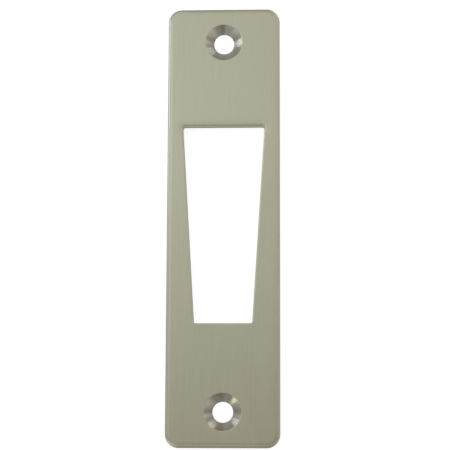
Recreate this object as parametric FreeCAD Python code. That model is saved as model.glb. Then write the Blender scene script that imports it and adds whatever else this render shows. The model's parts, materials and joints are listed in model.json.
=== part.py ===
import FreeCAD, Part
import math
import os

# A flat door strike plate, stamped from one strip of stainless steel: a rounded blank,
# a tapered opening for the lock bolt, and a countersunk screw hole near each end.
# Sizes are in millimetres and degrees. The plate lies on its back: the back face is at Z = 0,
# the front face looks along +Z, and the origin is the middle of the back face. The length runs
# along Y, with the wide end of the opening towards +Y.

# Blank
PLATE_LENGTH = 98.0
PLATE_WIDTH = 25.0
PLATE_THICKNESS = 2.0
CORNER_RADIUS = 3.0

# Rim of the blank: rolled over at the front by the press, deburred at the back
FRONT_RIM_RADIUS = 0.7
BACK_RIM_CHAMFER = 0.2

# Bolt opening, with its own smaller rolled rim at the front
OPENING_HEIGHT = 44.0
OPENING_WIDE_END = 18.2
OPENING_NARROW_END = 12.8
OPENING_CORNER_RADIUS = 0.5
OPENING_RIM_RADIUS = 0.4

# Screw holes, for M4 or No. 8 flat-head screws
SCREW_SPACING = 82.5
SCREW_HOLE_DIAMETER = 4.5
COUNTERSINK_DIAMETER = 8.2
COUNTERSINK_ANGLE = 90.0

# How far a cutting tool stands out of the plate, so that no cut ends on a face
TOOL_OVERRUN = 1.0

# How closely an edge has to lie at a height, or inside a box, to count as there
TOLERANCE = 1e-4

UP = FreeCAD.Vector(0, 0, 1)


def prism(lower_width, upper_width, length, height, corner_radius):
    """A straight-sided block, tapered in plan, with rounded upright corners."""
    corners = [
        FreeCAD.Vector(-lower_width / 2, -length / 2, 0),
        FreeCAD.Vector(lower_width / 2, -length / 2, 0),
        FreeCAD.Vector(upper_width / 2, length / 2, 0),
        FreeCAD.Vector(-upper_width / 2, length / 2, 0),
    ]
    outline = Part.makePolygon(corners + corners[:1])
    block = Part.Face(outline).extrude(UP * height)
    uprights = [edge for edge in block.Edges if edge.BoundBox.ZLength > height / 2]
    return block.makeFillet(corner_radius, uprights)


def rim(solid, level, width, length):
    """The edges at one height that lie within a width and a length about the middle."""
    edges = []
    for edge in solid.Edges:
        box = edge.BoundBox
        at_level = max(abs(box.ZMin - level), abs(box.ZMax - level)) < TOLERANCE
        in_width = max(-box.XMin, box.XMax) < width / 2 + TOLERANCE
        in_length = max(-box.YMin, box.YMax) < length / 2 + TOLERANCE
        if at_level and in_width and in_length:
            edges.append(edge)
    return edges


def blank():
    """The strip cut to length, with rounded corners, a rolled front rim and a deburred back rim."""
    plate = prism(PLATE_WIDTH, PLATE_WIDTH, PLATE_LENGTH, PLATE_THICKNESS, CORNER_RADIUS)
    front_rim = rim(plate, PLATE_THICKNESS, PLATE_WIDTH, PLATE_LENGTH)
    plate = plate.makeFillet(FRONT_RIM_RADIUS, front_rim)
    back_rim = rim(plate, 0, PLATE_WIDTH, PLATE_LENGTH)
    return plate.makeChamfer(BACK_RIM_CHAMFER, back_rim)


def pierce_opening(plate):
    """Punches the tapered bolt opening through the plate and rolls its front rim."""
    punch_height = PLATE_THICKNESS + 2 * TOOL_OVERRUN
    punch = prism(
        OPENING_NARROW_END, OPENING_WIDE_END, OPENING_HEIGHT, punch_height, OPENING_CORNER_RADIUS
    )
    punch.translate(-UP * TOOL_OVERRUN)
    plate = plate.cut(punch)
    widest = max(OPENING_NARROW_END, OPENING_WIDE_END)
    front_rim = rim(plate, PLATE_THICKNESS, widest, OPENING_HEIGHT)
    return plate.makeFillet(OPENING_RIM_RADIUS, front_rim)


def drill_screw_hole(plate, y):
    """Drills one screw hole and countersinks it from the front with a pointed cutter."""
    drill_foot = FreeCAD.Vector(0, y, -TOOL_OVERRUN)
    drill = Part.makeCylinder(SCREW_HOLE_DIAMETER / 2, PLATE_THICKNESS + 2 * TOOL_OVERRUN, drill_foot)
    slope = math.tan(math.radians(COUNTERSINK_ANGLE / 2))
    cutter_height = COUNTERSINK_DIAMETER / 2 / slope + TOOL_OVERRUN
    cutter_point = FreeCAD.Vector(0, y, PLATE_THICKNESS + TOOL_OVERRUN - cutter_height)
    cutter = Part.makeCone(0, cutter_height * slope, cutter_height, cutter_point)
    return plate.cut(drill).cut(cutter)


def strike_plate():
    """The finished plate, with the screw holes the same distance either side of the middle."""
    plate = pierce_opening(blank())
    for y in (-SCREW_SPACING / 2, SCREW_SPACING / 2):
        plate = drill_screw_hole(plate, y)
    return plate


os.makedirs("parts", exist_ok=True)
strike_plate().exportStep("parts/strike_plate.step")
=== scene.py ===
import json
import math
import bmesh
import bpy
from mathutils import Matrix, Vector


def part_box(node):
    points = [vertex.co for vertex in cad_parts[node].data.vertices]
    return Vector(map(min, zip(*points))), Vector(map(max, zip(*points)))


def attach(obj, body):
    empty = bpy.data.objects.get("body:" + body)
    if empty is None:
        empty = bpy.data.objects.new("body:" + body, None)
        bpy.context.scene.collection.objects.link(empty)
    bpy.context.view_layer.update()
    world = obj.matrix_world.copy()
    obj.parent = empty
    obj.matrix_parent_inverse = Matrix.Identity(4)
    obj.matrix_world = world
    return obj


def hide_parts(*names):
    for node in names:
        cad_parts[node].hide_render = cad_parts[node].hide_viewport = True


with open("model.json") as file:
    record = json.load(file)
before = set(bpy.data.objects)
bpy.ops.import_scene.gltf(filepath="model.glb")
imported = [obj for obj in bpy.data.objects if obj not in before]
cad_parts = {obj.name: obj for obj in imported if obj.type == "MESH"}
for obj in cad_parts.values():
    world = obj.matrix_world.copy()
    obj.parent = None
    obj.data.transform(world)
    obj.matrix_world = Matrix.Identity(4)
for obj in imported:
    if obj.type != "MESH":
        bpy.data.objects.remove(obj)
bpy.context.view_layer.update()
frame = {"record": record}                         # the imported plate, at its real size, in metres
plateLow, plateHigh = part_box("strike_plate")
mounts = {mount["name"]: mount for mount in frame["record"]["mounts"]}
screws = mounts["screw_holes"]["dims"]
millimetre = 0.001
print("frame loaded, plate box", [round(v, 5) for v in plateHigh - plateLow])


# Small helpers for node trees

def socketOf(sockets, key):               # by identifier first, because names repeat on some nodes
    for socket in sockets:
        if socket.identifier == key:
            return socket
    return sockets[key]


def addNode(tree, kind, values=None, **settings):
    made = tree.nodes.new(kind)
    for name, value in settings.items():
        setattr(made, name, value)
    for key, value in (values or {}).items():
        socket = socketOf(made.inputs, key)
        for source in value if isinstance(value, list) else [value]:
            if isinstance(source, bpy.types.NodeSocket):
                tree.links.new(source, socket)
            else:
                socket.default_value = source
    return made


def calc(tree, operation, first, second=0.0):
    made = addNode(tree, "ShaderNodeMath", {"Value": first, "Value_001": second}, operation=operation)
    return made.outputs[0]


def spot(tree, x=0.0, y=0.0, z=0.0):      # a point made of three sockets or numbers
    return addNode(tree, "ShaderNodeCombineXYZ", {"X": x, "Y": y, "Z": z}).outputs[0]


def partsOf(tree, point):                 # and taken apart again
    return addNode(tree, "ShaderNodeSeparateXYZ", {"Vector": point}).outputs


def lengthOf(tree, vector):
    return addNode(tree, "ShaderNodeVectorMath", {"Vector": vector}, operation="LENGTH").outputs["Value"]


def eased(tree, value, start, end):       # 0 at the start, 1 at the end, smooth between them
    return addNode(tree, "ShaderNodeMapRange", {"Value": value, "From Min": start, "From Max": end},
                   interpolation_type="SMOOTHSTEP").outputs[0]


def newGroup(name, inputs, outputs):
    tree = bpy.data.node_groups.new(name, "GeometryNodeTree")
    for label, kind in inputs.items():
        tree.interface.new_socket(label, in_out="INPUT", socket_type="NodeSocket" + kind)
    for label in outputs:
        tree.interface.new_socket(label, in_out="OUTPUT", socket_type="NodeSocketGeometry")
    given = tree.nodes.new("NodeGroupInput").outputs
    result = tree.nodes.new("NodeGroupOutput").inputs
    return tree, given, result


def useGroup(tree, group, values):
    return addNode(tree, "GeometryNodeGroup", values, node_tree=group).outputs


# Edge tools: how every rim and wall of the plate is swept round its outline

def evenRunsGroup():                      # points along the straight runs, the corner arcs kept as they are
    tree, given, result = newGroup("evenRuns", {"Curve": "Geometry", "Step": "Float"}, ["Curve"])
    index = addNode(tree, "GeometryNodeInputIndex").outputs[0]
    here = addNode(tree, "GeometryNodeInputPosition").outputs[0]
    pointCount = addNode(tree, "GeometryNodeSplineLength").outputs["Point Count"]
    following = calc(tree, "MODULO", calc(tree, "ADD", index, 1.0), pointCount)
    there = addNode(tree, "GeometryNodeFieldAtIndex", {"Value": here, "Index": following},
                    data_type="FLOAT_VECTOR", domain="POINT").outputs[0]
    gap = addNode(tree, "ShaderNodeVectorMath", {"Vector": here, "Vector_001": there},
                  operation="DISTANCE").outputs["Value"]
    cuts = calc(tree, "FLOOR", calc(tree, "DIVIDE", gap, given["Step"]))
    divided = addNode(tree, "GeometryNodeSubdivideCurve", {"Curve": given["Curve"], "Cuts": cuts})
    tree.links.new(divided.outputs[0], result["Curve"])
    return tree


def profileLine(tree, start, end, steps=None):
    line = addNode(tree, "GeometryNodeCurvePrimitiveLine", {"Start": start, "End": end}).outputs[0]
    if steps is None:
        return line
    return addNode(tree, "GeometryNodeResampleCurve", {"Curve": line, "Count": steps}).outputs[0]


def profileArc(tree, radius, sweep, centre, steps, stretch=1.0):      # starts level and turns down
    arc = addNode(tree, "GeometryNodeCurveArc", {
        "Resolution": steps, "Radius": radius, "Start Angle": math.pi / 2, "Sweep Angle": sweep}).outputs[0]
    return addNode(tree, "GeometryNodeTransform", {
        "Geometry": arc, "Translation": centre, "Scale": spot(tree, stretch, 1.0, 1.0)}).outputs[0]


def joinAll(tree, parts):
    return addNode(tree, "GeometryNodeJoinGeometry", {"Geometry": parts}).outputs[0]


def moved(tree, shape, offset):
    return addNode(tree, "GeometryNodeSetPosition", {"Geometry": shape, "Offset": offset}).outputs[0]


def rimProfileGroup():                    # x runs into the metal, y is the height above the back
    tree, given, result = newGroup("rimProfile", {
        "Thickness": "Float", "Depth": "Float", "Reach": "Float", "Chamfer": "Float", "Land": "Float",
        "Land Steps": "Int", "Rim Steps": "Int", "Wall Steps": "Int"}, ["Face", "Wall", "Back"])
    top, depth, reach, chamfer = given["Thickness"], given["Depth"], given["Reach"], given["Chamfer"]
    rimFoot = calc(tree, "SUBTRACT", top, depth)
    landEnd = calc(tree, "ADD", reach, given["Land"])
    land = profileLine(tree, spot(tree, landEnd, top), spot(tree, reach, top), given["Land Steps"])
    stretch = calc(tree, "DIVIDE", reach, depth)
    rollCentre = spot(tree, reach, rimFoot)
    roll = profileArc(tree, depth, math.pi / 2, rollCentre, given["Rim Steps"], stretch)
    wall = profileLine(tree, spot(tree, 0.0, rimFoot), spot(tree, 0.0, chamfer), given["Wall Steps"])
    broken = profileLine(tree, spot(tree, 0.0, chamfer), spot(tree, chamfer, 0.0))
    backEnd = calc(tree, "ADD", chamfer, given["Land"])
    back = profileLine(tree, spot(tree, chamfer, 0.0), spot(tree, backEnd, 0.0))
    tree.links.new(joinAll(tree, [land, roll]), result["Face"])
    tree.links.new(joinAll(tree, [wall, broken]), result["Wall"])
    tree.links.new(back, result["Back"])
    return tree


def sinkProfileGroup():                   # the countersunk screw hole, x from the drilled wall outwards
    tree, given, result = newGroup("sinkProfile", {
        "Thickness": "Float", "Reach": "Float", "Depth": "Float", "Half Angle": "Float", "Edge": "Float",
        "Land": "Float", "Ring Depth": "Float", "Edge Steps": "Int", "Rings": "Int", "Ring Steps": "Int"},
        ["Face", "Sink", "Wall", "Back"])
    top, reach, edge = given["Thickness"], given["Reach"], given["Edge"]
    turn = calc(tree, "SUBTRACT", math.pi / 2, given["Half Angle"])
    edgeRun = calc(tree, "MULTIPLY", edge, calc(tree, "TANGENT", calc(tree, "DIVIDE", turn, 2.0)))
    brow = calc(tree, "ADD", reach, edgeRun)
    landEnd = calc(tree, "ADD", brow, given["Land"])
    land = profileLine(tree, spot(tree, landEnd, top), spot(tree, brow, top))
    browCentre = spot(tree, brow, calc(tree, "SUBTRACT", top, edge))
    broken = profileArc(tree, edge, turn, browCentre, given["Edge Steps"])
    slopeX = calc(tree, "SINE", given["Half Angle"])
    slopeY = calc(tree, "COSINE", given["Half Angle"])
    coneX = calc(tree, "SUBTRACT", reach, calc(tree, "MULTIPLY", edgeRun, slopeX))
    coneY = calc(tree, "SUBTRACT", top, calc(tree, "MULTIPLY", edgeRun, slopeY))
    throat = calc(tree, "SUBTRACT", top, given["Depth"])
    coneSteps = calc(tree, "ADD", calc(tree, "MULTIPLY", given["Rings"], given["Ring Steps"]), 1.0)
    cone = profileLine(tree, spot(tree, coneX, coneY), spot(tree, 0.0, throat), coneSteps)
    along = addNode(tree, "GeometryNodeSplineParameter").outputs["Factor"]
    turns = calc(tree, "MULTIPLY", calc(tree, "MULTIPLY", along, given["Rings"]), 2 * math.pi)
    ripple = calc(tree, "MULTIPLY", calc(tree, "SINE", turns), given["Ring Depth"])
    rippleX = calc(tree, "MULTIPLY", ripple, slopeY)
    rippleY = calc(tree, "MULTIPLY", calc(tree, "MULTIPLY", ripple, slopeX), -1.0)
    rippled = moved(tree, cone, spot(tree, rippleX, rippleY))
    drilled = profileLine(tree, spot(tree, 0.0, throat), spot(tree))
    back = profileLine(tree, spot(tree), spot(tree, given["Land"]))
    tree.links.new(joinAll(tree, [land, broken]), result["Face"])
    tree.links.new(rippled, result["Sink"])
    tree.links.new(drilled, result["Wall"])
    tree.links.new(back, result["Back"])
    return tree


zones = {"face": 0, "edge": 1, "opening": 2, "sink": 3, "back": 4}     # each has its own finish


def markZone(tree, mesh, zone):
    marked = addNode(tree, "GeometryNodeStoreNamedAttribute", {"Geometry": mesh, "Name": "zone"},
                     data_type="INT", domain="FACE")
    value = marked.inputs["Value"]
    if isinstance(zone, bpy.types.NodeSocket):
        tree.links.new(zone, value)
    else:
        value.default_value = zone
    return marked.outputs[0]


def sweepGroup():                         # one profile along one outline, its faces marked with a zone
    tree, given, result = newGroup("sweepEdge", {
        "Path": "Geometry", "Profile": "Geometry", "Zone": "Int"}, ["Mesh"])
    upright = addNode(tree, "GeometryNodeSetCurveNormal", {"Curve": given["Path"]}, mode="Z_UP").outputs[0]
    faced = addNode(tree, "GeometryNodeTransform", {
        "Geometry": given["Profile"], "Rotation": (0, 0, math.pi)}).outputs[0]
    swept = addNode(tree, "GeometryNodeCurveToMesh", {"Curve": upright, "Profile Curve": faced}).outputs[0]
    tree.links.new(markZone(tree, swept, given["Zone"]), result["Mesh"])
    return tree


def tornWall(tree, wall, given):          # the lower part of a punched wall breaks away, a little rough
    place = addNode(tree, "GeometryNodeInputPosition").outputs[0]
    share = calc(tree, "DIVIDE", partsOf(tree, place)["Z"], given["Thickness"])
    torn = eased(tree, share, given["Tear Start"], given["Tear Full"])
    footed = eased(tree, share, 0.0, given["Tear Foot"])
    grain = addNode(tree, "ShaderNodeTexNoise", {
        "Vector": place, "W": given["Seed"], "Scale": given["Tear Scale"],
        "Detail": given["Tear Detail"], "Roughness": given["Tear Roughness"]},
        noise_dimensions="4D").outputs["Fac"]
    depth = calc(tree, "MULTIPLY", calc(tree, "MULTIPLY", torn, footed),
                 calc(tree, "MULTIPLY", grain, given["Tear Depth"]))
    facing = addNode(tree, "GeometryNodeInputNormal").outputs["Normal"]
    inwards = calc(tree, "MULTIPLY", depth, -1.0)
    push = addNode(tree, "ShaderNodeVectorMath", {"Vector": facing, "Scale": inwards}, operation="SCALE")
    return moved(tree, wall, push.outputs[0])


def drawnEdge(tree, edge, given):         # the punch drew the rim at the opening's wide end down a little
    parts = partsOf(tree, addNode(tree, "GeometryNodeInputPosition").outputs[0])
    corner = given["Opening Corner"]
    halfWide = calc(tree, "MULTIPLY", given["Opening Wide End"], 0.5)
    halfHigh = calc(tree, "MULTIPLY", given["Opening Height"], 0.5)
    centreX = calc(tree, "SUBTRACT", halfWide, corner)
    centreY = calc(tree, "SUBTRACT", halfHigh, corner)
    beyondX = calc(tree, "MAXIMUM", calc(tree, "SUBTRACT", calc(tree, "ABSOLUTE", parts["X"]), centreX))
    beyondY = calc(tree, "MAXIMUM", calc(tree, "SUBTRACT", parts["Y"], centreY))
    beyond = lengthOf(tree, spot(tree, beyondX, beyondY))
    away = calc(tree, "MAXIMUM", calc(tree, "SUBTRACT", beyond, corner))
    reach = calc(tree, "ADD", given["Opening Rim Reach"], given["Opening Land"])
    near = calc(tree, "MAXIMUM", calc(tree, "SUBTRACT", 1.0, calc(tree, "DIVIDE", away, reach)))
    atEnd = eased(tree, parts["Y"], calc(tree, "SUBTRACT", halfHigh, given["Draw Fade"]), halfHigh)
    level = eased(tree, parts["Z"], 0.0, given["Thickness"])
    drop = calc(tree, "MULTIPLY", calc(tree, "MULTIPLY", near, near), calc(tree, "MULTIPLY", atEnd, level))
    down = calc(tree, "MULTIPLY", drop, calc(tree, "MULTIPLY", given["Draw Depth"], -1.0))
    return moved(tree, edge, spot(tree, 0.0, 0.0, down))


def fillSide(tree, edges, given, front):  # the flat face between the swept edges, front or back
    place = addNode(tree, "GeometryNodeInputPosition").outputs[0]
    middle = calc(tree, "MULTIPLY", given["Thickness"], 0.5)
    onSide = calc(tree, "GREATER_THAN" if front else "LESS_THAN", partsOf(tree, place)["Z"], middle)
    faceCount = addNode(tree, "GeometryNodeInputMeshEdgeNeighbors").outputs[0]
    openEdge = addNode(tree, "FunctionNodeCompare", {"A_INT": faceCount, "B_INT": 1},
                       data_type="INT", operation="EQUAL").outputs[0]
    chosen = calc(tree, "MULTIPLY", onSide, openEdge)
    loops = addNode(tree, "GeometryNodeMeshToCurve", {"Mesh": edges, "Selection": chosen}).outputs[0]
    filled = addNode(tree, "GeometryNodeFillCurve", {"Curve": loops}, mode="TRIANGLES").outputs[0]
    lift = spot(tree, 0.0, 0.0, given["Thickness"] if front else 0.0)
    level = addNode(tree, "GeometryNodeTransform", {"Geometry": filled, "Translation": lift}).outputs[0]
    return markZone(tree, level, zones["face" if front else "back"])


# Strike plate: length, width, thickness and screw holes come from the frame, the rest is set here

plateLook = {
    "cornerRadius": 3.0 * millimetre,
    "rimDepth": 0.7 * millimetre,
    "rimReach": 1.0 * millimetre,         # blanking rolls the rim over a strip wider than it is deep
    "backChamfer": 0.2 * millimetre,
    "openingHeight": 44.0 * millimetre,
    "openingWideEnd": 18.2 * millimetre,
    "openingNarrowEnd": 12.8 * millimetre,
    "openingCorner": 0.5 * millimetre,
    "openingRimDepth": 0.4 * millimetre,
    "openingRimReach": 0.2 * millimetre,
    "openingBurr": 0.06 * millimetre,     # edge break at the back of the opening
    "openingLand": 1.6 * millimetre,      # strip round the opening that the punch may draw down
    "drawDepth": 0.065 * millimetre,
    "drawFade": 3.0 * millimetre,         # how far the drawn rim runs on down the sides
    "sinkDiameter": 8.2 * millimetre,
    "sinkAngle": math.radians(90),
    "sinkEdge": 0.08 * millimetre,        # broken edge where the countersink meets the face
    "sinkRings": 13,                      # turning marks down the cone
    "sinkRingDepth": 0.0012 * millimetre,
    "tearStart": 0.62,                    # share of the thickness at which a punched wall starts to tear
    "tearFull": 0.3,                      # and at which it is torn right back
    "tearFoot": 0.16,                     # the tear closes up again below this share
    "tearDepth": 0.05 * millimetre,
    "tearScale": 2600.0,
    "tearDetail": 3.0,
    "tearRoughness": 0.6,
    "seed": 29.2,                         # another number tears the walls another way
    "land": 0.25 * millimetre,            # flat strip that keeps the shading of the faces even
    "weld": 0.001 * millimetre,
    "step": 0.3 * millimetre,             # spacing of points along the straight runs
    "cornerSteps": 20,
    "landSteps": 9,
    "rimSteps": 10,
    "wallSteps": 12,
    "edgeSteps": 5,
    "ringSteps": 8,
    "holeSteps": 96,
}
creaseAngle = math.radians(32)            # edges sharper than this stay crisp


def labelOf(key):                         # cornerRadius is shown as Corner Radius
    return "".join(" " + letter if letter.isupper() else letter for letter in key).title()


def finishLabel(zone):
    return labelOf(zone) + " Finish"


def socketKind(value):
    if isinstance(value, bpy.types.Material):
        return "Material"
    return "Int" if isinstance(value, int) else "Float"


def plateTree(values):
    sockets = {label: socketKind(value) for label, value in values.items()}
    tree, given, result = newGroup("strikePlate", sockets, ["Plate"])
    evenRuns = evenRunsGroup()
    rimProfile = rimProfileGroup()
    sinkProfile = sinkProfileGroup()
    sweep = sweepGroup()

    def welded(mesh):
        return addNode(tree, "GeometryNodeMergeByDistance", {
            "Geometry": mesh, "Distance": given["Weld"]}).outputs[0]

    def outline(curve, radius):           # rounded corners, then points along the runs
        rounded = addNode(tree, "GeometryNodeFilletCurve", {
            "Curve": curve, "Count": given["Corner Steps"], "Radius": radius}, mode="POLY").outputs[0]
        return useGroup(tree, evenRuns, {"Curve": rounded, "Step": given["Step"]})[0]

    def inside(path):                     # a hole's path runs the other way round
        return addNode(tree, "GeometryNodeReverseCurve", {"Curve": path}).outputs[0]

    def edgeOf(path, profile, wallZone):  # every strip of one outline, from the face round to the back
        strips = []
        for label, zone in (("Face", "face"), ("Sink", "sink"), ("Wall", wallZone), ("Back", "back")):
            if label not in profile:
                continue
            strip = useGroup(tree, sweep, {"Path": path, "Profile": profile[label], "Zone": zones[zone]})[0]
            if label == "Wall" and wallZone != "sink":
                strip = tornWall(tree, welded(strip), given)
            strips.append(strip)
        return joinAll(tree, strips)

    def rimOf(depth, reach, chamfer, land, landSteps=2):       # two points make a plain flat strip
        return useGroup(tree, rimProfile, {
            "Thickness": given["Thickness"], "Depth": depth, "Reach": reach, "Chamfer": chamfer,
            "Land": land, "Land Steps": landSteps,
            "Rim Steps": given["Rim Steps"], "Wall Steps": given["Wall Steps"]})

    blank = addNode(tree, "GeometryNodeCurvePrimitiveQuadrilateral", {
        "Width": given["Width"], "Height": given["Length"]}, mode="RECTANGLE").outputs[0]
    blankRim = rimOf(given["Rim Depth"], given["Rim Reach"], given["Back Chamfer"], given["Land"])
    blankEdge = edgeOf(outline(blank, given["Corner Radius"]), blankRim, "edge")

    opening = addNode(tree, "GeometryNodeCurvePrimitiveQuadrilateral", {
        "Height": given["Opening Height"], "Bottom Width": given["Opening Narrow End"],
        "Top Width": given["Opening Wide End"], "Offset": 0.0}, mode="TRAPEZOID").outputs[0]
    openingPath = inside(outline(opening, given["Opening Corner"]))
    openingRim = rimOf(given["Opening Rim Depth"], given["Opening Rim Reach"], given["Opening Burr"],
                       given["Opening Land"], given["Land Steps"])
    openingEdge = drawnEdge(tree, edgeOf(openingPath, openingRim, "opening"), given)

    circle = addNode(tree, "GeometryNodeCurvePrimitiveCircle", {
        "Resolution": given["Hole Steps"], "Radius": given["Hole Radius"]}, mode="RADIUS").outputs[0]
    halfAngle = calc(tree, "MULTIPLY", given["Sink Angle"], 0.5)
    sinkRadius = calc(tree, "MULTIPLY", given["Sink Diameter"], 0.5)
    sinkReach = calc(tree, "SUBTRACT", sinkRadius, given["Hole Radius"])
    sinkDepth = calc(tree, "DIVIDE", sinkReach, calc(tree, "TANGENT", halfAngle))
    sink = useGroup(tree, sinkProfile, {
        "Thickness": given["Thickness"], "Reach": sinkReach, "Depth": sinkDepth, "Half Angle": halfAngle,
        "Edge": given["Sink Edge"], "Land": given["Land"], "Ring Depth": given["Sink Ring Depth"],
        "Edge Steps": given["Edge Steps"], "Rings": given["Sink Rings"], "Ring Steps": given["Ring Steps"]})
    hole = edgeOf(inside(circle), sink, "sink")
    firstHole = spot(tree, 0.0, calc(tree, "MULTIPLY", given["Screw Spacing"], -0.5))
    toNext = spot(tree, 0.0, given["Screw Spacing"])
    places = addNode(tree, "GeometryNodeMeshLine", {
        "Count": screws["count"], "Start Location": firstHole, "Offset": toNext}).outputs[0]
    holes = addNode(tree, "GeometryNodeInstanceOnPoints", {"Points": places, "Instance": hole}).outputs[0]
    holeEdges = addNode(tree, "GeometryNodeRealizeInstances", {"Geometry": holes}).outputs[0]

    edges = welded(joinAll(tree, [blankEdge, openingEdge, holeEdges]))
    sides = [fillSide(tree, edges, given, front) for front in (True, False)]
    closed = welded(joinAll(tree, [edges] + sides))
    smooth = addNode(tree, "GeometryNodeSetShadeSmooth", {"Geometry": closed}).outputs[0]
    plate = addNode(tree, "GeometryNodeRealizeInstances", {"Geometry": smooth}).outputs[0]
    marked = addNode(tree, "GeometryNodeInputNamedAttribute", {"Name": "zone"}, data_type="INT").outputs[0]
    for zone, number in zones.items():
        here = addNode(tree, "FunctionNodeCompare", {"A_INT": marked, "B_INT": number},
                       data_type="INT", operation="EQUAL").outputs[0]
        plate = addNode(tree, "GeometryNodeSetMaterial", {
            "Geometry": plate, "Selection": here, "Material": given[finishLabel(zone)]}).outputs[0]
    tree.links.new(plate, result["Plate"])
    return tree


def buildPlate(finishes):
    size = plateHigh - plateLow
    values = {
        "Length": size.y, "Width": size.x, "Thickness": size.z,
        "Screw Spacing": screws["spacing_y_mm"] * millimetre,
        "Hole Radius": screws["hole_r_mm"] * millimetre}
    values.update({labelOf(key): value for key, value in plateLook.items()})
    values.update({finishLabel(zone): finish for zone, finish in finishes.items()})
    carrier = bpy.data.objects.new("plateCarrier", bpy.data.meshes.new("plateCarrier"))
    bpy.context.scene.collection.objects.link(carrier)
    modifier = carrier.modifiers.new("strikePlate", "NODES")
    modifier.node_group = plateTree(values)
    for item in modifier.node_group.interface.items_tree:
        if item.in_out == "INPUT":
            modifier[item.identifier] = values[item.name]
    evaluated = carrier.evaluated_get(bpy.context.evaluated_depsgraph_get())
    mesh = bpy.data.meshes.new_from_object(evaluated)
    carrier.modifiers.remove(modifier)
    bpy.data.objects.remove(carrier)
    mesh.name = "satinPlate"
    shell = bmesh.new()
    shell.from_mesh(mesh)
    bmesh.ops.recalc_face_normals(shell, faces=shell.faces)
    shell.to_mesh(mesh)
    shell.free()
    mesh.attributes.remove(mesh.attributes["zone"])
    mesh.set_sharp_from_angle(angle=creaseAngle)
    plate = bpy.data.objects.new("satinPlate", mesh)
    bpy.context.scene.collection.objects.link(plate)
    print("plate built,", len(mesh.polygons), "faces")
    return plate


# Finishes. A pattern is given as its repeats per metre along X, Y and Z, its detail and its roughness

def newMaterial(name):
    material = bpy.data.materials.new(name)
    material.use_nodes = True
    return material, material.node_tree.nodes["Principled BSDF"]


def newMetal(name):
    material, shader = newMaterial(name)
    shader.inputs["Metallic"].default_value = 1.0
    tree = material.node_tree
    place = addNode(tree, "ShaderNodeTexCoord").outputs["Object"]
    return material, tree, shader, place


def pattern(tree, place, scale, detail, roughness):
    stretched = addNode(tree, "ShaderNodeMapping", {"Vector": place, "Scale": scale}).outputs[0]
    return addNode(tree, "ShaderNodeTexNoise", {
        "Vector": stretched, "Scale": 1.0, "Detail": detail, "Roughness": roughness}).outputs["Fac"]


def between(tree, factor, low, high):     # a 0 to 1 pattern spread between two numbers
    return addNode(tree, "ShaderNodeMapRange", {"Value": factor, "To Min": low, "To Max": high}).outputs[0]


def blended(tree, share, first, second):  # one pattern giving way to another
    mixed = addNode(tree, "ShaderNodeMix", {"Factor_Float": share, "A_Float": first, "B_Float": second},
                    data_type="FLOAT")
    return socketOf(mixed.outputs, "Result_Float")


def twoTone(tree, share, dark, light, how="MIX"):
    mixed = addNode(tree, "ShaderNodeMix", {"Factor_Float": share, "A_Color": dark, "B_Color": light},
                    data_type="RGBA", blend_type=how)
    return socketOf(mixed.outputs, "Result_Color")


def dress(tree, shader, colour, roughness, relief, look):
    tree.links.new(colour, shader.inputs["Base Color"])
    tree.links.new(roughness, shader.inputs["Roughness"])
    bump = addNode(tree, "ShaderNodeBump", {
        "Height": relief, "Distance": look["bumpDepth"], "Strength": look["bumpStrength"]}).outputs[0]
    tree.links.new(bump, shader.inputs["Normal"])


satinLook = {
    "dark": (0.504, 0.494, 0.351, 1.0),
    "light": (0.690, 0.677, 0.513, 1.0),
    "roughness": (0.29, 0.41),
    "hairline": ((11000.0, 160.0, 11000.0), 3.0, 0.5),
    "brush": ((3200.0, 50.0, 3200.0), 3.0, 0.6),        # wider, longer strokes among the hairlines
    "grain": ((5200.0, 5200.0, 5200.0), 3.0, 0.6),
    "cloud": ((70.0, 45.0, 70.0), 2.0, 0.5),
    "brushShare": 0.6,                    # of the strokes, beside the hairlines
    "toneBrushShare": 0.35,               # the same in the tone, where the hairlines show more
    "strokeShare": 0.75,                  # of the tone, beside the clouds
    "grainShare": 0.3,                    # of the relief, beside the strokes
    "rimScuff": 0.09,                     # tumbling leaves the outer rim a little rougher
    "rimPaintedShade": (0.90, 0.91, 0.985, 1.0),  # painted shade: the outer rims' colour is darkened and cooled to dim the lamps' highlight on them, like a bluish reflection
    "rimDrop": (0.02 * millimetre, plateLook["rimDepth"] / 6),     # below the face: from none to all of it
    "openingMargin": 0.8 * millimetre,    # the opening's own rim, this far out, gets neither the scuff nor the painted rim shade
    "bumpDepth": 0.004 * millimetre,
    "bumpStrength": 0.5,
}


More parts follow.
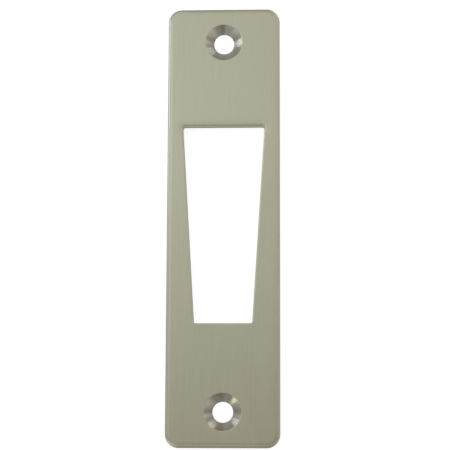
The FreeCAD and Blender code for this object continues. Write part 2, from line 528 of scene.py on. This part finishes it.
def satinFinish():                        # front face and its rolled rims
    material, tree, shader, place = newMetal("satinFace")
    hairline = pattern(tree, place, *satinLook["hairline"])
    brush = pattern(tree, place, *satinLook["brush"])
    grain = pattern(tree, place, *satinLook["grain"])
    cloud = pattern(tree, place, *satinLook["cloud"])
    strokes = blended(tree, satinLook["brushShare"], hairline, brush)
    parts = partsOf(tree, place)
    halfWide = plateLook["openingWideEnd"] / 2
    halfHigh = plateLook["openingHeight"] / 2
    pastSide = calc(tree, "SUBTRACT", calc(tree, "ABSOLUTE", parts["X"]), halfWide)
    pastEnd = calc(tree, "SUBTRACT", calc(tree, "ABSOLUTE", parts["Y"]), halfHigh)
    past = calc(tree, "MAXIMUM", pastSide, pastEnd)
    outer = calc(tree, "GREATER_THAN", past, satinLook["openingMargin"])
    start, full = satinLook["rimDrop"]
    onRim = calc(tree, "MULTIPLY", eased(tree, parts["Z"], plateHigh.z - start, plateHigh.z - full), outer)
    lines = blended(tree, satinLook["toneBrushShare"], hairline, brush)
    tone = blended(tree, satinLook["strokeShare"], cloud, lines)
    colour = twoTone(tree, tone, satinLook["dark"], satinLook["light"])
    # painted shade on the outer rims, darkening and cooling their colour to dim the lamps' highlight
    colour = twoTone(tree, onRim, colour, satinLook["rimPaintedShade"], "MULTIPLY")
    scuff = calc(tree, "MULTIPLY", onRim, satinLook["rimScuff"])
    roughness = calc(tree, "ADD", between(tree, strokes, *satinLook["roughness"]), scuff)
    relief = blended(tree, satinLook["grainShare"], strokes, grain)
    dress(tree, shader, colour, roughness, relief, satinLook)
    return material


wallLook = {                              # what both walls share
    "wander": ((900.0, 900.0, 60.0), 2.0, 0.5),         # how the border of the torn band wanders
    "wanderReach": 0.22 * millimetre,
    "border": (0.55, 0.42),               # shares of the thickness: from burnished to torn
    "scores": ((9000.0, 9000.0, 260.0), 3.0, 0.5),      # upright lines left by the tool
    "scoreDepth": 0.3,
    "scuff": 0.06,
    "crumble": ((7000.0, 7000.0, 5200.0), 4.0, 0.65),
    "bumpStrength": 0.8,
}
edgeLook = {                              # the outer edge, trimmed and rubbed down
    "name": "trimmedEdge",
    "burnished": (0.585, 0.578, 0.455, 1.0),
    "torn": (0.47, 0.465, 0.38, 1.0),
    "roughness": (0.32, 0.55),
    "bumpDepth": 0.010 * millimetre,
}
openingLook = {                           # the opening's wall, left dull by the punch
    "name": "punchedWall",
    "burnished": (0.565, 0.556, 0.44, 1.0),
    "torn": (0.46, 0.453, 0.37, 1.0),
    "roughness": (0.38, 0.62),
    "bumpDepth": 0.014 * millimetre,
}


def wallFinish(own):                      # burnished band at the front, torn band behind it
    look = {**wallLook, **own}
    material, tree, shader, place = newMetal(look["name"])
    wander = pattern(tree, place, *look["wander"])
    scores = pattern(tree, place, *look["scores"])
    crumble = pattern(tree, place, *look["crumble"])
    reach = look["wanderReach"]
    border = calc(tree, "ADD", partsOf(tree, place)["Z"], between(tree, wander, -reach, reach))
    start, full = look["border"]
    torn = eased(tree, border, start * plateHigh.z, full * plateHigh.z)
    colour = twoTone(tree, torn, look["burnished"], look["torn"])
    scuff = between(tree, scores, -look["scuff"], look["scuff"])
    roughness = calc(tree, "ADD", between(tree, torn, *look["roughness"]), scuff)
    relief = blended(tree, torn, calc(tree, "MULTIPLY", scores, look["scoreDepth"]), crumble)
    dress(tree, shader, colour, roughness, relief, look)
    return material


sinkLook = {
    "dark": (0.51, 0.496, 0.416, 1.0),
    "light": (0.58, 0.565, 0.484, 1.0),
    "roughness": (0.24, 0.32),
    "spread": 0.9,                        # the turning marks fan the light out across themselves
    "rings": 14000.0,                     # fine turning lines, per metre from the axis
    "ringDetail": 3.0,
    "endShift": 12.0,                     # gives the two sinks different lines
    "bumpDepth": 0.003 * millimetre,
    "bumpStrength": 0.4,
}


def sinkFinish():                         # countersinks, turned bright, with rings about each screw axis
    material, tree, shader, place = newMetal("turnedSink")
    parts = partsOf(tree, place)
    axisY = screws["spacing_y_mm"] / 2 * millimetre
    end = calc(tree, "SIGN", parts["Y"])
    fromAxis = calc(tree, "SUBTRACT", parts["Y"], calc(tree, "MULTIPLY", end, axisY))
    outwards = spot(tree, parts["X"], fromAxis)
    ringNumber = calc(tree, "MULTIPLY", lengthOf(tree, outwards), sinkLook["rings"])
    ringPlace = spot(tree, ringNumber, calc(tree, "MULTIPLY", end, sinkLook["endShift"]))
    rings = addNode(tree, "ShaderNodeTexNoise", {
        "Vector": ringPlace, "Scale": 1.0, "Detail": sinkLook["ringDetail"]}).outputs["Fac"]
    shader.inputs["Anisotropic"].default_value = sinkLook["spread"]
    tree.links.new(outwards, shader.inputs["Tangent"])
    colour = twoTone(tree, rings, sinkLook["dark"], sinkLook["light"])
    dress(tree, shader, colour, between(tree, rings, *sinkLook["roughness"]), rings, sinkLook)
    return material


backLook = {
    "dark": (0.47, 0.47, 0.425, 1.0),
    "light": (0.66, 0.66, 0.61, 1.0),
    "roughness": (0.22, 0.50),
    "rolling": ((2600.0, 40.0, 2600.0), 3.0, 0.5),
    "cloud": ((90.0, 60.0, 90.0), 3.0, 0.5),
    "rollingShare": 0.4,                  # of the tone, beside the clouds
    "bumpDepth": 0.010 * millimetre,
    "bumpStrength": 0.5,
}


def backFinish():                         # mill finish, as rolled
    material, tree, shader, place = newMetal("millBack")
    rolling = pattern(tree, place, *backLook["rolling"])
    cloud = pattern(tree, place, *backLook["cloud"])
    tone = blended(tree, backLook["rollingShare"], cloud, rolling)
    colour = twoTone(tree, tone, backLook["dark"], backLook["light"])
    dress(tree, shader, colour, between(tree, rolling, *backLook["roughness"]), rolling, backLook)
    return material


finishes = {
    "face": satinFinish(), "edge": wallFinish(edgeLook), "opening": wallFinish(openingLook),
    "sink": sinkFinish(), "back": backFinish()}
print("finishes made")

satinPlate = buildPlate(finishes)
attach(satinPlate, "root")
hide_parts("strike_plate")


# Studio: pale floor, soft light, camera

studioLook = {
    "floorSide": 3.0,
    "floorDrop": 0.02 * millimetre,       # a hair below the back, so that the two do not flicker
    "floorTone": (0.40, 0.40, 0.40, 1.0),
    "floorRoughness": 0.7,
    "floorGlow": 0.82,                    # the floor is a lit table, so the plate casts almost no shadow
    "along": [                            # light of the room from the near end (-1) to the far end (1)
        (-1.0, (0.42, 0.405, 0.355)), (-0.6, (0.64, 0.62, 0.55)), (-0.35, (0.46, 0.445, 0.40)),
        (-0.05, (0.12, 0.11, 0.075)), (0.1, (0.53, 0.515, 0.48)), (0.22, (1.39, 1.40, 1.39)),
        (0.36, (0.42, 0.425, 0.425)), (0.6, (0.62, 0.63, 0.62)), (1.0, (0.76, 0.76, 0.74))],
    "skyline": [                          # the same, low down round the table
        (-1.0, (0.14, 0.132, 0.12)), (-0.87, (0.17, 0.165, 0.152)), (-0.5, (1.12, 1.12, 1.03)),
        (-0.2, (1.04, 1.035, 0.95)), (0.0, (0.62, 0.615, 0.575)), (0.28, (1.15, 1.155, 1.13)),
        (0.5, (0.66, 0.66, 0.65)), (0.78, (0.22, 0.215, 0.20)), (1.0, (0.18, 0.15, 0.12))],
    "skylineHeight": (0.22, 0.50),        # where it starts to give way to the light overhead, and has done
    "across": [                           # and its share from left (-1) to right (1)
        (-1.0, (0.84, 0.88, 1.02)), (-0.45, (1.14, 1.21, 1.44)), (-0.2, (1.55, 1.585, 1.72)),
        (-0.06, (0.86, 0.86, 0.86)), (0.06, (0.62, 0.62, 0.62)), (0.2, (0.93, 0.94, 0.96)),
        (0.5, (1.04, 1.04, 1.08)), (1.0, (0.90, 0.90, 0.94))],
    "below": (0.58, 0.57, 0.55, 1.0),     # what the edges mirror from below the table's level
    "horizon": (-0.04, 0.04),             # and over what height it turns into the room
}


def layFloor():
    half = studioLook["floorSide"] / 2
    mesh = bpy.data.meshes.new("paleFloor")
    corners = [(-half, -half, 0), (half, -half, 0), (half, half, 0), (-half, half, 0)]
    mesh.from_pydata(corners, [], [(0, 1, 2, 3)])
    floor = bpy.data.objects.new("paleFloor", mesh)
    bpy.context.scene.collection.objects.link(floor)
    floor.location.z = plateLow.z - studioLook["floorDrop"]
    material, shader = newMaterial("lightTable")
    shader.inputs["Base Color"].default_value = studioLook["floorTone"]
    shader.inputs["Roughness"].default_value = studioLook["floorRoughness"]
    shader.inputs["Emission Color"].default_value = (1.0, 1.0, 1.0, 1.0)
    shader.inputs["Emission Strength"].default_value = studioLook["floorGlow"]
    mesh.materials.append(material)
    floor.visible_glossy = False          # the glow lights the picture but is not mirrored in the metal


def rampOf(tree, value, stops):           # smooth ramp over directions from -1 to 1
    share = addNode(tree, "ShaderNodeMapRange", {"Value": value, "From Min": -1.0}).outputs[0]
    ramp = addNode(tree, "ShaderNodeValToRGB", {"Fac": share})
    ramp.color_ramp.interpolation = "EASE"
    while len(ramp.color_ramp.elements) < len(stops):
        ramp.color_ramp.elements.new(0.5)
    for element, (at, tone) in zip(ramp.color_ramp.elements, stops):
        element.position = (at + 1) / 2
        element.color = tone + (1.0,)
    return ramp.outputs["Color"]


def lightRoom():                          # a soft room, brighter to the far left and dim at the near end
    world = bpy.data.worlds.new("softRoom")
    world.use_nodes = True
    tree = world.node_tree
    parts = partsOf(tree, addNode(tree, "ShaderNodeTexCoord").outputs["Generated"])
    overhead = rampOf(tree, parts["Y"], studioLook["along"])
    skyline = rampOf(tree, parts["Y"], studioLook["skyline"])
    across = rampOf(tree, parts["X"], studioLook["across"])
    lifted = eased(tree, parts["Z"], *studioLook["skylineHeight"])
    along = twoTone(tree, lifted, skyline, overhead)
    both = twoTone(tree, 1.0, along, across, "MULTIPLY")
    above = eased(tree, parts["Z"], *studioLook["horizon"])
    room = twoTone(tree, above, studioLook["below"], both)
    tree.links.new(room, tree.nodes["Background"].inputs["Color"])
    bpy.context.scene.world = world


softboxes = {                             # name: place, aim, width and height, spread, power in watts, tint
    "leftStrip": ((-0.166, 0.086, 0.044), (0, 0, 0), (0.084, 0.044), 180, 0.040, (0.89, 0.93, 1.06)),
    "lowerLeft": ((-0.075, -0.108, 0.022), (0, -0.041, 0), (0.026, 0.020), 50, 0.0005, (1.0, 0.96, 0.62)),
    "upperRight": ((0.330, 0.400, 0.110), (0, 0, 0), (0.250, 0.130), 180, 0.220, (1.0, 0.98, 0.94)),
}


def hangSoftboxes():
    for name, (place, aim, size, spread, power, tint) in softboxes.items():
        lamp = bpy.data.lights.new(name, "AREA")
        lamp.shape = "RECTANGLE"
        lamp.size, lamp.size_y = size
        lamp.spread = math.radians(spread)
        lamp.energy = power
        lamp.color = tint
        box = bpy.data.objects.new(name, lamp)
        bpy.context.scene.collection.objects.link(box)
        box.location = place
        box.rotation_euler = (Vector(aim) - box.location).to_track_quat("-Z", "Y").to_euler()
        box.visible_camera = False


cameraLook = {                            # fitted to the photo's outline, opening and holes
    "place": (15.48 * millimetre, -53.68 * millimetre, 330.23 * millimetre),
    "turn": (math.radians(9.231), math.radians(2.594), math.radians(0.227)),
    "lens": 120.87,
    "sensor": 36.0,
    "nearest": 0.01,
}


def placeCamera():
    data = bpy.data.cameras.new("photoCamera")
    data.lens = cameraLook["lens"]
    data.sensor_width = cameraLook["sensor"]
    data.clip_start = cameraLook["nearest"]
    camera = bpy.data.objects.new("photoCamera", data)
    bpy.context.scene.collection.objects.link(camera)
    camera.location = cameraLook["place"]
    camera.rotation_euler = cameraLook["turn"]
    bpy.context.scene.camera = camera


layFloor()
lightRoom()
hangSoftboxes()
placeCamera()
bpy.context.scene.view_settings.view_transform = "Standard"
print("studio set")
